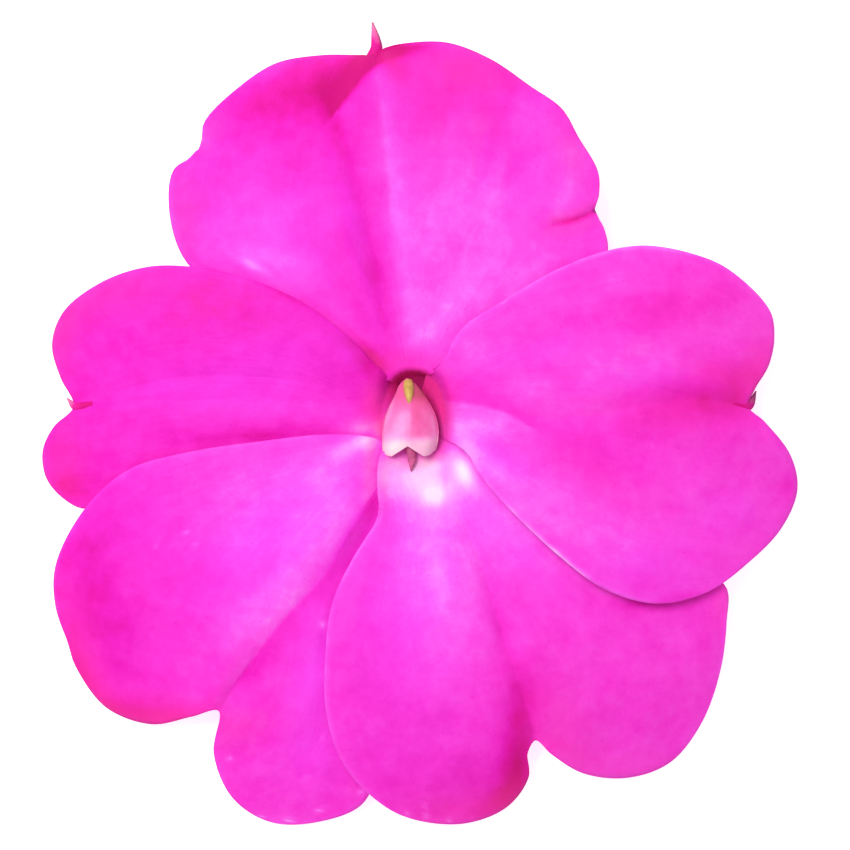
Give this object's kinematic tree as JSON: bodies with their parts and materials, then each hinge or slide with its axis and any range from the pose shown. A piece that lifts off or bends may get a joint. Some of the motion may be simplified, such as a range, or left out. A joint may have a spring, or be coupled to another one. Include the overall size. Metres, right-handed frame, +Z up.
{
  "type": "new guinea impatiens flower",
  "caption": "Single flower with notched, overlapping magenta petals round a pale stamen cap, seen face on; behind it a thin curved spur, small sepals and a short cut stalk.",
  "frame": {"origin": "on the surface that the flower lies on, under the middle of its outline", "axes": "+Z up, out of the flower's face; +Y towards the upper (standard) petal; +X to the right as seen from the front"},
  "size_m": [0.0646, 0.0684, 0.0111],
  "materials": {
    "petal": "soft satin petal",
    "pouch": "soft satin petal",
    "sepal": "matt leaf",
    "stalk": "matt, juicy stem",
    "stamens": "satin",
    "pistil": "satin"
  },
  "bodies": {
    "root": {"dorsal_petal": "petal", "left_wing_petals": "petal", "right_wing_petals": "petal", "spurred_sepal": "pouch", "sepal_left": "sepal", "sepal_right": "sepal", "flower_stalk": "stalk", "stamen_column": "stamens", "pistil": "pistil"}
  },
  "joints": []
}
